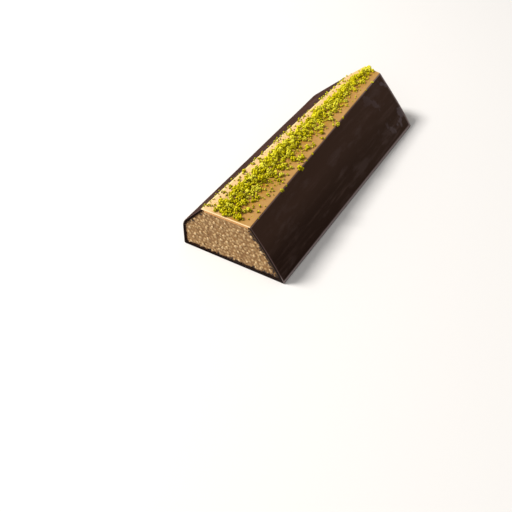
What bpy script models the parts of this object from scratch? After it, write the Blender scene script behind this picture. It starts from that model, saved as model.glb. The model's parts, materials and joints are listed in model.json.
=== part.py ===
"""Halva bar: a sesame halva body in a dark chocolate coat, with a smooth tan top under chopped pistachio.

Metres, +Z up. The bar lies along Y, with its cut face towards -Y and its far end towards +Y.
The origin is the middle of the base, on the surface that the bar rests on.
"""

import math
import random

import bmesh
import bpy
from mathutils import Euler, Matrix, Vector

MM = 0.001

# Driving sizes
LENGTH = 148.5 * MM
BASE_WIDTH = 60 * MM
HEIGHT = 29 * MM
TOP_WIDTH_AT_CUT = 28 * MM
TOP_WIDTH_AT_FAR_END = 15.5 * MM

# The flanks: how far out and how high each one turns, at the cut face
LEFT_SHOULDER = (27.8 * MM, 15.4 * MM)
RIGHT_SHOULDER = (23.0 * MM, 15.0 * MM)
LEFT_SHOULDER_SOFTNESS = 3.5 * MM
RIGHT_SHOULDER_SOFTNESS = 12.0 * MM
FOOT_SOFTNESS = 1.2 * MM
INNER_FOOT_SOFTNESS = 0.6 * MM

# Near its far end the bar is pinched on the left: how far back from the end each line starts
# to give, and how much it gives per length
TOP_PINCH_START = 14.8 * MM
TOP_PINCH_SLOPE = 0.26
SHOULDER_PINCH_START = 22.9 * MM
SHOULDER_PINCH_SLOPE = 0.24

# The far end is cut askew. Seen from above, each corner of the cut is given by its place
# across the bar and how far it stays back from the tip, then by its softness
FAR_CUT_CORNERS = (
    (-40 * MM, 25 * MM),
    (-15 * MM, 3 * MM),
    (-3 * MM, 0 * MM),
    (10 * MM, 4.5 * MM),
    (40 * MM, 5.5 * MM),
)
FAR_CUT_SOFTNESS = (9 * MM, 2 * MM, 7 * MM)
FAR_CUT_DEPTH = 40 * MM

# The chocolate coat is thin at its rim and thicker at its foot, where it ran down
COAT_AT_RIM = 1.1 * MM
COAT_AT_FOOT = 1.9 * MM
RIM_HEIGHT = HEIGHT - 0.2 * MM

# The smooth top layer lies inside the rims
TOP_LAYER = 1.2 * MM
TOP_LAYER_SOFTNESS = 0.4 * MM

# Clearance between neighbouring pieces
GAP = 0.3 * MM

# Chopped pistachio: smallest and largest radius, how many, and how far they spread from the
# band's middle as a share of half the strip's width. The last group lies on the others
PISTACHIO_GROUPS = (
    (1.55 * MM, 2.05 * MM, 128, 0.60),
    (1.0 * MM, 1.4 * MM, 58, 0.72),
    (0.7 * MM, 0.9 * MM, 22, 0.90),
    (1.3 * MM, 1.7 * MM, 30, 0.36),
)
PISTACHIO_BAND_CENTRE = -0.12
PISTACHIO_SPACING = 0.74
PISTACHIO_SQUASH = 0.85
PISTACHIO_SIT = (0.30, 0.62)
PISTACHIO_HEAPED_SIT = 1.15
PISTACHIO_END_MARGIN = 1.0 * MM
PISTACHIO_SEED = 27

CUT_Y = -LENGTH / 2
FAR_Y = LENGTH / 2
EVEN_PART = LENGTH - SHOULDER_PINCH_START
EVEN_STEPS = 6
SECTION_YS = tuple(CUT_Y + EVEN_PART * i / EVEN_STEPS for i in range(EVEN_STEPS + 1))
SECTION_YS += (FAR_Y - TOP_PINCH_START, FAR_Y - 0.5 * TOP_PINCH_START, FAR_Y + 4 * MM)


def clear_scene():
    for obj in list(bpy.data.objects):
        bpy.data.objects.remove(obj, do_unlink=True)


def new_collection(name, hidden=False):
    collection = bpy.data.collections.new(name)
    bpy.context.scene.collection.children.link(collection)
    collection.hide_render = hidden
    return collection


def plain_material(name, colour, roughness):
    material = bpy.data.materials.new(name)
    material.use_nodes = True
    shader = material.node_tree.nodes["Principled BSDF"]
    shader.inputs["Base Color"].default_value = (*colour, 1.0)
    shader.inputs["Roughness"].default_value = roughness
    shader.inputs["Metallic"].default_value = 0.0
    return material


def half_top(y):
    """Half the width of the bar's top at y, before the pinch: it narrows evenly to the far end."""
    share = (y - CUT_Y) / LENGTH
    return 0.5 * (TOP_WIDTH_AT_CUT + (TOP_WIDTH_AT_FAR_END - TOP_WIDTH_AT_CUT) * share)


def top_edges(y):
    """The x of the top's left and right edges at y."""
    pinch = TOP_PINCH_SLOPE * max(y - (FAR_Y - TOP_PINCH_START), 0.0)
    return -half_top(y) + pinch, half_top(y)


def shoulder_at(shoulder, y):
    """Where the flank turns at y: always at the same share of the way from top edge to foot."""
    half_base = BASE_WIDTH / 2
    half_cut = TOP_WIDTH_AT_CUT / 2
    share = (shoulder[0] - half_cut) / (half_base - half_cut)
    return half_top(y) + share * (half_base - half_top(y)), shoulder[1]


def softened(corners, reaches, steps):
    """The polyline through corners, each inner corner rounded over its reach to both sides."""
    points = [Vector(corners[0])]
    for before, corner, after, reach, count in zip(corners, corners[1:], corners[2:], reaches, steps):
        corner = Vector(corner)
        start = corner + (Vector(before) - corner).normalized() * reach
        end = corner + (Vector(after) - corner).normalized() * reach
        for i in range(count + 1):
            t = i / count
            points.append((1 - t) ** 2 * start + 2 * t * (1 - t) * corner + t**2 * end)
    points.append(Vector(corners[-1]))
    return points


def outer_corners(y):
    """The coat's outside before its corners are rounded: left rim, round the base, right rim."""
    half_base = BASE_WIDTH / 2
    left, right = top_edges(y)
    left_x, left_z = shoulder_at(LEFT_SHOULDER, y)
    drop = SHOULDER_PINCH_SLOPE * max(y - (FAR_Y - SHOULDER_PINCH_START), 0.0)
    return (
        (left, RIM_HEIGHT),
        (-left_x, left_z - drop),
        (-half_base, 0.0),
        (half_base, 0.0),
        shoulder_at(RIGHT_SHOULDER, y),
        (right, RIM_HEIGHT),
    )


def coat_thickness(z):
    return COAT_AT_FOOT + (COAT_AT_RIM - COAT_AT_FOOT) * z / HEIGHT


def inset_corners(y, extra, top_z):
    """The outer corners moved inwards by the coat's thickness and extra, with both ends at top_z."""
    outline = [Vector(corner) for corner in outer_corners(y)]
    points = []
    for i, point in enumerate(outline):
        along_in = (point - outline[i - 1]).normalized() if i else None
        along_out = (outline[i + 1] - point).normalized() if i < len(outline) - 1 else along_in
        along_in = along_in or along_out
        normal_in = Vector((-along_in.y, along_in.x))
        normal_out = Vector((-along_out.y, along_out.x))
        mitre = (normal_in + normal_out).normalized()
        depth = (coat_thickness(point.y) + extra) / mitre.dot(normal_in)
        points.append(point + mitre * depth)
    for end, inner in ((0, 1), (-1, -2)):
        slope = (points[end].x - points[inner].x) / (points[end].y - points[inner].y)
        points[end] = Vector((points[inner].x + slope * (top_z - points[inner].y), top_z))
    return points


def rounded_flanks(corners, foot_softness):
    reaches = (LEFT_SHOULDER_SOFTNESS, foot_softness, foot_softness, RIGHT_SHOULDER_SOFTNESS)
    return softened(corners, reaches, (6, 3, 3, 6))


def coat_section(y):
    outside = rounded_flanks(outer_corners(y), FOOT_SOFTNESS)
    inside = rounded_flanks(inset_corners(y, 0.0, RIM_HEIGHT), INNER_FOOT_SOFTNESS)
    return outside + inside[::-1]


def halva_section(y):
    return rounded_flanks(inset_corners(y, GAP, HEIGHT - TOP_LAYER - GAP), INNER_FOOT_SOFTNESS)


def top_layer_section(y):
    inside = inset_corners(y, 0.0, HEIGHT)
    left, right = inside[0].x + GAP, inside[-1].x - GAP
    bottom = HEIGHT - TOP_LAYER
    corners = ((left, bottom), (left, HEIGHT), (right, HEIGHT), (right, bottom))
    return softened(corners, (TOP_LAYER_SOFTNESS,) * 2, (2, 2))


def mesh_object(name, built, collection, material=None):
    bmesh.ops.recalc_face_normals(built, faces=built.faces)
    mesh = bpy.data.meshes.new(name)
    built.to_mesh(mesh)
    built.free()
    obj = bpy.data.objects.new(name, mesh)
    collection.objects.link(obj)
    if material:
        mesh.materials.append(material)
    return obj


def loft(name, section, collection, material):
    """A closed solid through the sections at SECTION_YS."""
    built = bmesh.new()
    rings = [[built.verts.new((point.x, y, point.y)) for point in section(y)] for y in SECTION_YS]
    count = len(rings[0])
    for near, far in zip(rings, rings[1:]):
        for i in range(count):
            j = (i + 1) % count
            built.faces.new((near[i], near[j], far[j], far[i]))
    built.faces.new(rings[0])
    built.faces.new(rings[-1])
    return mesh_object(name, built, collection, material)


def far_cut_line():
    """The far end's cut as (x, y) points seen from above."""
    corners = [(x, FAR_Y - back) for x, back in FAR_CUT_CORNERS]
    return softened(corners, FAR_CUT_SOFTNESS, (4, 2, 4))


def far_end_y(x):
    line = far_cut_line()
    for start, end in zip(line, line[1:]):
        if start.x <= x <= end.x:
            return start.y + (end.y - start.y) * (x - start.x) / (end.x - start.x)
    raise ValueError("x lies outside the far cut")


def far_end_cutter(collection):
    """A block whose near side is the far end's cut."""
    line = far_cut_line()
    back = FAR_Y + FAR_CUT_DEPTH
    outline = line + [Vector((line[-1].x, back)), Vector((line[0].x, back))]
    built = bmesh.new()
    floor = built.faces.new([built.verts.new((point.x, point.y, -HEIGHT)) for point in outline])
    raised = bmesh.ops.extrude_face_region(built, geom=[floor])["geom"]
    raised = [part for part in raised if isinstance(part, bmesh.types.BMVert)]
    bmesh.ops.translate(built, verts=raised, vec=(0, 0, 3 * HEIGHT))
    cutter = mesh_object("far_end_cutter", built, collection)
    cutter.hide_render = True
    cutter.display_type = "WIRE"
    return cutter


def cut_with(obj, cutter):
    modifier = obj.modifiers.new("far_end", "BOOLEAN")
    modifier.operation = "DIFFERENCE"
    modifier.solver = "EXACT"
    modifier.object = cutter


def apply_modifiers(obj):
    graph = bpy.context.evaluated_depsgraph_get()
    mesh = bpy.data.meshes.new_from_object(obj.evaluated_get(graph))
    obj.modifiers.clear()
    obj.data = mesh


def pistachio_spots():
    """Each nut piece as (x, y, z, radius): the largest first, what fills between, then the heap on top."""
    draw = random.Random(PISTACHIO_SEED)
    heap = PISTACHIO_GROUPS[-1]
    spots = []
    for group in PISTACHIO_GROUPS:
        low, high, count, spread = group
        rivals = [] if group is heap else spots
        placed = []
        for _ in range(count * 80):
            if len(placed) == count:
                break
            radius = draw.uniform(low, high)
            y = draw.uniform(CUT_Y + radius + PISTACHIO_END_MARGIN, FAR_Y)
            left, right = top_edges(y)
            off_centre = draw.triangular(-1, 1, 0) if group is heap else draw.uniform(-1, 1)
            across = PISTACHIO_BAND_CENTRE + spread * off_centre
            x = 0.5 * (left + right + across * (right - left))
            margin = COAT_AT_RIM + 2 * GAP + radius
            sit = PISTACHIO_HEAPED_SIT if group is heap else draw.uniform(*PISTACHIO_SIT)
            if not left + margin < x < right - margin:
                continue
            if y + radius + PISTACHIO_END_MARGIN > min(far_end_y(x - radius), far_end_y(x + radius)):
                continue
            apart = (
                math.hypot(x - other[0], y - other[1]) > PISTACHIO_SPACING * (radius + other[3])
                for other in rivals + placed
            )
            if all(apart):
                placed.append((x, y, HEIGHT + sit * radius, radius))
        spots += placed
    return spots


def pistachio_piece(number, spot, collection):
    """A chip of nut: a twenty-sided ball, squashed and knocked out of true."""
    draw = random.Random(PISTACHIO_SEED * 1000 + number)
    x, y, z, radius = spot
    built = bmesh.new()
    bmesh.ops.create_icosphere(built, subdivisions=1, radius=radius)
    for vertex in built.verts:
        vertex.co *= draw.uniform(0.86, 1.08)
    turn = Euler([draw.uniform(0, math.tau) for _ in range(3)]).to_matrix().to_4x4()
    squash = Matrix.Diagonal((draw.uniform(0.9, 1.1), draw.uniform(0.9, 1.1), PISTACHIO_SQUASH, 1.0))
    bmesh.ops.transform(built, matrix=Matrix.Translation((x, y, z)) @ squash @ turn, verts=built.verts)
    return mesh_object(f"pistachio_{number:03d}", built, collection)


def keep_largest_shell(obj):
    """Drops what the union leaves apart from the main body: sealed pockets and loose scraps."""
    built = bmesh.new()
    built.from_mesh(obj.data)
    left = set(built.verts)
    shells = []
    while left:
        shell, edge = set(), [left.pop()]
        while edge:
            vertex = edge.pop()
            shell.add(vertex)
            for neighbour in (link.other_vert(vertex) for link in vertex.link_edges):
                if neighbour in left:
                    left.discard(neighbour)
                    edge.append(neighbour)
        shells.append(shell)
    largest = max(shells, key=len)
    scraps = [vertex for vertex in built.verts if vertex not in largest]
    bmesh.ops.delete(built, geom=scraps, context="VERTS")
    built.to_mesh(obj.data)
    built.free()


def sprinkle(layer, scene_collection):
    """Fuses the nut pieces to the top layer with one union."""
    pieces = new_collection("pistachio_pieces")
    for number, spot in enumerate(pistachio_spots()):
        pistachio_piece(number, spot, pieces)
    modifier = layer.modifiers.new("pistachio", "BOOLEAN")
    modifier.operation = "UNION"
    modifier.solver = "EXACT"
    modifier.operand_type = "COLLECTION"
    modifier.collection = pieces
    apply_modifiers(layer)
    for piece in list(pieces.objects):
        bpy.data.objects.remove(piece, do_unlink=True)
    bpy.data.collections.remove(pieces)
    keep_largest_shell(layer)


def build():
    clear_scene()
    bar = new_collection("halva_bar")
    cutters = new_collection("cutters", hidden=True)
    halva_colour = plain_material("halva", (0.50, 0.33, 0.19), 0.8)
    chocolate_colour = plain_material("dark_chocolate", (0.028, 0.017, 0.013), 0.35)
    topping_colour = plain_material("tan_top_and_pistachio", (0.58, 0.47, 0.14), 0.6)

    cutter = far_end_cutter(cutters)
    halva = loft("halva", halva_section, bar, halva_colour)
    coat = loft("chocolate_coat", coat_section, bar, chocolate_colour)
    topping = loft("pistachio_top", top_layer_section, bar, topping_colour)
    for piece in (halva, coat, topping):
        cut_with(piece, cutter)
    bpy.context.view_layer.update()
    apply_modifiers(topping)
    sprinkle(topping, bar)

    coat.data.shade_smooth()
    coat.data.set_sharp_from_angle(angle=math.radians(35))


build()
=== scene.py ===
# %% [markdown]
# # A bar of chocolate-coated halva under chopped pistachio
#
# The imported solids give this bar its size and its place. This lesson dresses them: the cut face
# gets its sesame, the chocolate its soft shine, the tan top its dust and the pistachio its
# hundreds of chips. Sizes are in metres, and +Y runs from the cut face to the far end.

import json
import math
import random

import bmesh
import bpy
import numpy as np
from mathutils import Matrix, Vector, geometry, noise

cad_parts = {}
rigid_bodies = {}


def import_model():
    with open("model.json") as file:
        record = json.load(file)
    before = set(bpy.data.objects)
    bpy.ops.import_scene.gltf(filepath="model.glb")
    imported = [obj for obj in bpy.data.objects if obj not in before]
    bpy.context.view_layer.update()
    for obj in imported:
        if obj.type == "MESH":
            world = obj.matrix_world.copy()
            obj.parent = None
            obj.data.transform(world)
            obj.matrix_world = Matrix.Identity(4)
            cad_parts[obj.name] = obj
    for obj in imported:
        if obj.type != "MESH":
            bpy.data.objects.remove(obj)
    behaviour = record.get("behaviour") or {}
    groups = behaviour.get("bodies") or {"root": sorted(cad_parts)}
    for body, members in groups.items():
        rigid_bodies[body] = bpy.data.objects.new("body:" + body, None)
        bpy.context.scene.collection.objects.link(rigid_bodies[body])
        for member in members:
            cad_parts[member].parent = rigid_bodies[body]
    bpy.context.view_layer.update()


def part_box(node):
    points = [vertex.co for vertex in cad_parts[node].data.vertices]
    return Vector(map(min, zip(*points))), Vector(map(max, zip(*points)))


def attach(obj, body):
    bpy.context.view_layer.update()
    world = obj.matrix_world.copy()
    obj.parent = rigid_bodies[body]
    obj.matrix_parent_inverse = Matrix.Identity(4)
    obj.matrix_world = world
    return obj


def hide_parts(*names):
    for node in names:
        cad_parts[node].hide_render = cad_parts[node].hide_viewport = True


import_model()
MM = 0.001

# %% [markdown]
# ## The bar's own measures
#
# Each dressed piece keeps the form of the solid that it replaces, so the bar's few driving sizes
# are named once here. The cut face and the rims' height come from the solids themselves. Seen from
# the cut face the left flank turns at a shoulder, and the right one is almost straight.

# %% Driving sizes
coat_low, coat_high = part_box("chocolate_coat")
CUT_Y = coat_low.y
LENGTH = 148.5 * MM
FAR_Y = CUT_Y + LENGTH
HALF_BASE = 30 * MM
HEIGHT = 29 * MM
RIM_HEIGHT = coat_high.z
HALF_TOP_AT_CUT, HALF_TOP_AT_FAR_END = 14 * MM, 7.75 * MM
LEFT_SHOULDER, RIGHT_SHOULDER = (27.8 * MM, 15.4 * MM), (23.0 * MM, 15.0 * MM)
TOP_PINCH_START, TOP_PINCH_SLOPE = 14.8 * MM, 0.26
SHOULDER_PINCH_START, SHOULDER_PINCH_SLOPE = 22.9 * MM, 0.24
COAT_AT_RIM, COAT_AT_FOOT = 1.1 * MM, 1.9 * MM
TOP_LAYER = 1.2 * MM
FAR_CUT_CORNERS = ((-40, 25), (-15, 3), (-3, 0), (10, 4.5), (40, 5.5))
FAR_CUT_SOFTNESS = (9, 2, 7)


def half_top(y):
    """Half the width of the top strip at y, before the pinch at its left."""
    return HALF_TOP_AT_CUT + (HALF_TOP_AT_FAR_END - HALF_TOP_AT_CUT) * (y - CUT_Y) / LENGTH


def top_edges(y):
    """The x of the top's left and right edges at y."""
    pinch = TOP_PINCH_SLOPE * max(y - (FAR_Y - TOP_PINCH_START), 0.0)
    return -half_top(y) + pinch, half_top(y)


def shoulder_at(shoulder, y):
    """A shoulder as (x, z) at y: it moves in as the top narrows."""
    share = (shoulder[0] - HALF_TOP_AT_CUT) / (HALF_BASE - HALF_TOP_AT_CUT)
    return half_top(y) + share * (HALF_BASE - half_top(y)), shoulder[1]


def outer_corners(y):
    """The coat's outside at y as (x, z) corners: left rim, round the base, right rim."""
    left, right = top_edges(y)
    left_x, left_z = shoulder_at(LEFT_SHOULDER, y)
    drop = SHOULDER_PINCH_SLOPE * max(y - (FAR_Y - SHOULDER_PINCH_START), 0.0)
    corners = (
        (left, RIM_HEIGHT),
        (-left_x, left_z - drop),
        (-HALF_BASE, 0),
        (HALF_BASE, 0),
        shoulder_at(RIGHT_SHOULDER, y),
        (right, RIM_HEIGHT),
    )
    return [Vector(corner) for corner in corners]


def inset_corners(y, extra, top_z):
    """The outer corners moved in by the coat's thickness and extra, with both ends at top_z."""
    outline, points = outer_corners(y), []
    for i, point in enumerate(outline):
        along_in = (point - outline[i - 1]).normalized() if i else None
        along_out = (outline[i + 1] - point).normalized() if i + 1 < len(outline) else along_in
        along_in = along_in or along_out
        normal_in = Vector((-along_in.y, along_in.x))
        mitre = (normal_in + Vector((-along_out.y, along_out.x))).normalized()
        thickness = COAT_AT_FOOT + (COAT_AT_RIM - COAT_AT_FOOT) * point.y / HEIGHT
        points.append(point + mitre * (thickness + extra) / mitre.dot(normal_in))
    for end, inner in ((0, 1), (-1, -2)):
        slope = (points[end].x - points[inner].x) / (points[end].y - points[inner].y)
        points[end] = Vector((points[inner].x + slope * (top_z - points[inner].y), top_z))
    return points


print("the top narrows from", 2 * half_top(CUT_Y), "to", 2 * half_top(FAR_Y), "m")

# %% [markdown]
# ## Rounded outlines and the askew far end
#
# Every piece of the bar is drawn the same way: an outline with softened corners, carried along the
# bar and cut off at the far end. A quadratic curve over each corner is enough at this size. The far
# end is not square: seen from above it is a broken line with a blunt tip, so each point of an
# outline stops at its own length.

# %% Outline helpers


def arc(before, corner, after, reach, steps):
    """Points of a curve that rounds a corner, from one reach before it to one reach after it."""
    start = corner + (before - corner).normalized() * reach
    end = corner + (after - corner).normalized() * reach
    shares = [i / steps for i in range(steps + 1)]
    return [(1 - t) ** 2 * start + 2 * t * (1 - t) * corner + t**2 * end for t in shares]


def rounded_loop(corners, reaches, arc_steps, edge_steps):
    """A closed loop through the corners, each rounded over its reach, with points along its edges."""
    count, points = len(corners), []
    arcs = [
        arc(corners[k - 1], corners[k], corners[(k + 1) % count], reaches[k], arc_steps[k])
        for k in range(count)
    ]
    for k in range(count):
        start, end = arcs[k][-1], arcs[(k + 1) % count][0]
        points += arcs[k]
        points += [start.lerp(end, i / edge_steps[k]) for i in range(1, edge_steps[k])]
    return points


def far_cut_line():
    """The far end as seen from above: points from left to right, in metres."""
    corners = [Vector((x * MM, FAR_Y - back * MM)) for x, back in FAR_CUT_CORNERS]
    line = [corners[0]]
    for before, corner, after, reach in zip(corners, corners[1:], corners[2:], FAR_CUT_SOFTNESS):
        line += arc(before, corner, after, reach * MM, 6)
    return line + [corners[-1]]


FAR_LINE = np.array([tuple(point) for point in far_cut_line()])


def far_end_y(x):
    return float(np.interp(x, FAR_LINE[:, 0], FAR_LINE[:, 1]))


def far_ring(outline):
    """An outline as it stands at the far cut, and the y of each of its points."""
    ys = [FAR_Y - 8 * MM] * len(outline(CUT_Y))
    for _ in range(3):
        ys = [far_end_y(outline(y)[j].x) for j, y in enumerate(ys)]
    return [outline(y)[j] for j, y in enumerate(ys)], ys


def drawn_in(loop, depths):
    """A closed loop moved towards its inside, by one depth for each point."""
    count, moved = len(loop), []
    for i, point in enumerate(loop):
        along = (loop[(i + 1) % count] - loop[i - 1]).normalized()
        moved.append(point + Vector((-along.y, along.x)) * depths[i])
    return moved


print("the far tip lies at", max(FAR_LINE[:, 1]), "m")

# %% [markdown]
# ## Carrying an outline along the bar
#
# A skin is a stack of rings, one for each station along the bar. The first and last few rings are
# drawn in a little, which rounds the edge where the knife went through. The stations are even until
# the last stretch, and from there each point heads for its own end.

# %% Rings along the bar
EVEN_END_Y = FAR_Y - 30 * MM


def stood(loop, ys, shift=0.0):
    """A ring: outline points (x, z) stood up at their y, which is one for all or one for each."""
    ys = ys if isinstance(ys, list) else [ys] * len(loop)
    return [Vector((p.x, y + shift, p.y)) for p, y in zip(loop, ys)]


def ring_stack(outline, even_steps, last_steps, rounding, share_of=lambda point: 1.0):
    """Rings of (x, y, z) points. rounding is a list of (distance from the end, drawn in by), and
    share_of says how much of it a point of the outline gets."""

    def rounded(loop, depth):
        return drawn_in(loop, [depth * share_of(point) for point in loop])

    near_loop, (far_loop, reach) = outline(CUT_Y), far_ring(outline)
    rings = [stood(rounded(near_loop, depth), CUT_Y, back) for back, depth in rounding]
    first = CUT_Y + rounding[-1][0]
    for i in range(1, even_steps + 1):
        y = first + (EVEN_END_Y - first) * i / even_steps
        rings.append(stood(outline(y), y))
    for i in range(1, last_steps):
        ys = [EVEN_END_Y + (r - EVEN_END_Y) * (i / last_steps) for r in reach]
        rings.append(stood([outline(y)[j] for j, y in enumerate(ys)], ys))
    return rings + [stood(rounded(far_loop, depth), reach, -back) for back, depth in rounding[::-1]]


def skin(rings, noted=()):
    """A mesh in the making whose sides join the rings, its rows of vertices and noted layers."""
    built = bmesh.new()
    layers = [built.verts.layers.float.new(name) for name in noted]
    rows = [[built.verts.new(point) for point in ring] for ring in rings]
    count = len(rows[0])
    for near, far in zip(rows, rows[1:]):
        for i in range(count):
            built.faces.new((near[i], far[i], far[(i + 1) % count], near[(i + 1) % count]))
    return built, rows, layers


def started(noted):
    """An empty mesh in the making, and the layer that keeps one value for each point."""
    built = bmesh.new()
    return built, built.verts.layers.float.new(noted)


def turned_to(built, direction):
    """Turns every face of a mesh in the making to look in a direction."""
    built.normal_update()
    for face in built.faces:
        if face.normal.dot(direction) < 0:
            face.normal_flip()


def plain_mesh(name, built):
    mesh = bpy.data.meshes.new(name)
    built.to_mesh(mesh)
    built.free()
    return mesh


def added(name, data):
    """An object with the given data, put into the scene."""
    made = bpy.data.objects.new(name, data)
    bpy.context.scene.collection.objects.link(made)
    return made


def finished(name, built, smooth_angle=40):
    """A visible piece, smooth but for its sharp edges."""
    built.normal_update()
    mesh = plain_mesh(name, built)
    mesh.shade_smooth()
    mesh.set_sharp_from_angle(angle=math.radians(smooth_angle))
    return added(name, mesh)


def in_mm(*pairs):
    """Pairs of lengths in millimetres, made metres."""
    return [(first * MM, second * MM) for first, second in pairs]


print("rings are even up to", EVEN_END_Y, "m")

# %% [markdown]
# ## The chocolate coat
#
# Dark chocolate that was brushed or poured on is never quite flat: it keeps long shallow waves that
# its reflections show. The coat is one U-shaped skin, outside and inside, with softly rounded rims,
# and slow noise pushes its outside in and out by about a tenth of a millimetre.
#
# Its rounded edges get a painted highlight, and the knife leaves raw dark chocolate at both ends.
# Under the highlight line above the right foot, the same dark stands for painted shade. The mesh
# keeps both as values, "edge_highlight" and "cut", which the material reads.

# %% Build the chocolate coat
WAVE_DEPTH, WAVE_LENGTH, WAVE_STRETCH = 0.16 * MM, 17 * MM, 0.45
RIPPLE_DEPTH, RIPPLE_LENGTH, RIPPLE_STRETCH = 0.05 * MM, 5 * MM, 0.6
RIPPLE_SHIFT = Vector((7, 3, 1))
WAVES_START, WAVES_GROW_OVER = 1.5 * MM, 3 * MM
COAT_ROUNDING = in_mm((0.0, 0.26), (0.09, 0.08), (0.28, 0.0), (0.60, 0.0), (1.00, 0.0), (1.50, 0.0))
COAT_REACHES = (0.38, 3.5, 1.2, 1.2, 12, 0.38, 0.35, 11.6, 0.6, 0.6, 3.2, 0.35)
COAT_ARC_STEPS = (4, 8, 4, 4, 10, 4, 4, 10, 4, 4, 8, 4)
COAT_EDGE_STEPS = (6, 6, 6, 8, 4, 1, 4, 8, 6, 6, 6, 1)
# Painted highlight along the coat's rounded edges: how strong it is at the cut, at the far end, on the
# rims and on the left.
NEAR_EDGE_HIGHLIGHT = (0.0, 1.0, 0.35)
FAR_EDGE_HIGHLIGHT = (0.0, 0.0, 0.1, 0.6, 1.0, 0.0)
RIM_HIGHLIGHT, LEFT_HIGHLIGHT = 0.75, 0.6
# Above the right foot: a painted highlight line, with painted shade in the cut value below it.
FOOT_HIGHLIGHT_AND_SHADE = ((0, 1), (0, 1), (0, 1), (0.3, 0.3), (1, 0), (0.5, 0))


def coat_outline(y):
    corners = outer_corners(y) + inset_corners(y, 0.0, RIM_HEIGHT)[::-1]
    return rounded_loop(corners, [r * MM for r in COAT_REACHES], COAT_ARC_STEPS, COAT_EDGE_STEPS)


def line_starts():
    """The first point of the arcs at both rims' outer corners and at the right foot."""
    loop, corners = coat_outline(CUT_Y), outer_corners(CUT_Y)
    return [
        min(range(len(loop)), key=lambda i: (loop[i] - corner).length) - 2
        for corner in (corners[0], corners[-1], corners[3])
    ]


LEFT_RIM_START, RIGHT_RIM_START, FOOT_START = line_starts()


def wave(point):
    slow = noise.noise(Vector((point.x, point.y * WAVE_STRETCH, point.z)) / WAVE_LENGTH)
    rippled = Vector((point.x, point.y * RIPPLE_STRETCH, point.z)) / RIPPLE_LENGTH
    return slow * WAVE_DEPTH + noise.noise(rippled + RIPPLE_SHIFT) * RIPPLE_DEPTH


def note_edges(rows, edge_highlight, cut):
    """Notes the painted highlights: pale lines along the rims, above the right foot and round both
    ends, and what is raw. The foot line gives (edge_highlight, cut) from the foot upwards, and its
    cut value there is painted shade."""
    for row in rows:
        for vertex in row:
            vertex[edge_highlight] = RIM_HIGHLIGHT if vertex.co.z > RIM_HEIGHT - 0.05 * MM else 0.0
        row[LEFT_RIM_START + 2][edge_highlight] = row[RIGHT_RIM_START + 2][edge_highlight] = 1.0
        for vertex, (light, raw) in zip(row[FOOT_START:], FOOT_HIGHLIGHT_AND_SHADE):
            vertex[edge_highlight], vertex[cut] = light, raw
    for row, light in list(zip(rows, NEAR_EDGE_HIGHLIGHT)) + list(zip(rows[::-1], FAR_EDGE_HIGHLIGHT)):
        for vertex in row[: len(row) // 2]:
            vertex[edge_highlight] = light if vertex.co.x > 0 else LEFT_HIGHLIGHT * light
    for vertex in rows[0] + rows[-1]:
        vertex[cut] = 1.0


def build_coat():
    built, rows, (edge_highlight, cut) = skin(ring_stack(coat_outline, 60, 16, COAT_ROUNDING), ("edge_highlight", "cut"))
    note_edges(rows, edge_highlight, cut)
    count = len(rows[0])
    for i in range(count // 2 - 1):
        around = (i, i + 1, count - 2 - i, count - 1 - i)
        built.faces.new([rows[0][k] for k in around])
        built.faces.new([rows[-1][k] for k in reversed(around)])
    built.normal_update()
    for row in rows:
        for vertex in row[: count // 2]:
            lift = min(max((vertex.co.z - WAVES_START) / WAVES_GROW_OVER, 0.0), 1.0)
            vertex.co += vertex.normal * wave(vertex.co) * lift
    return finished("dark_chocolate_coat", built)


coat = build_coat()
print("coat:", len(coat.data.polygons), "faces")

# %% [markdown]
# ## Sesame at the cut faces
#
# Halva breaks rather than cuts, so its face is a packed bed of grains with little gaps. Each
# grain could be a mesh of its own, but most are half buried, so the bed is relief: every grain is an
# ellipse on a jumbled lattice, and the face rises over it like a low dome. The same sum also stores
# how far a spot lies on a grain, how pale that grain is and where a gap goes deep, and the material
# reads all three; the deep gaps get painted shade.

# %% Grain relief over a cut face
GRAIN_PITCH = 2.2 * MM
GRAIN_RADIUS = (0.74 * MM, 1.02 * MM)
GRAIN_SHORTNESS = (0.66, 0.90)
GRAIN_RISE = (0.07 * MM, 0.16 * MM)
GRAIN_JITTER = 0.24 * GRAIN_PITCH
BURIED_SHARE = 0.3
BURIED_TONE, PROUD_TONE = (0.1, 0.4), (0.45, 1.0)
GRIT_DEPTH, GRIT_LENGTH = 0.035 * MM, 0.55 * MM
FACE_RECESS = 0.18 * MM
PIT_RADIUS = (0.26 * MM, 0.50 * MM)
PIT_DEPTH = 0.45 * MM
PITS_PER_FACE = 80


def grain_sites(points, seed):
    """Jumbled sites over the points' extent: x, z, long radius, short radius, turn, rise, tone."""
    draw = random.Random(seed)
    low, high = points.min(0) - GRAIN_PITCH, points.max(0) + GRAIN_PITCH
    sites, row, z = [], 0, low[1]
    while z < high[1]:
        x = low[0] + (row % 2) * GRAIN_PITCH / 2
        while x < high[0]:
            long_radius = draw.uniform(*GRAIN_RADIUS)
            buried = draw.random() < BURIED_SHARE
            rise = draw.uniform(*GRAIN_RISE) * (0.5 if buried else 1.0)
            tone = draw.uniform(*(BURIED_TONE if buried else PROUD_TONE))
            at_x = x + draw.uniform(-GRAIN_JITTER, GRAIN_JITTER)
            at_z = z + draw.uniform(-GRAIN_JITTER, GRAIN_JITTER)
            short_radius = long_radius * draw.uniform(*GRAIN_SHORTNESS)
            turn = draw.uniform(0, math.pi)
            sites.append((at_x, at_z, long_radius, short_radius, turn, rise, tone))
            x += GRAIN_PITCH
        z += GRAIN_PITCH * math.sqrt(3) / 2
        row += 1
    return np.array(sites)


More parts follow.
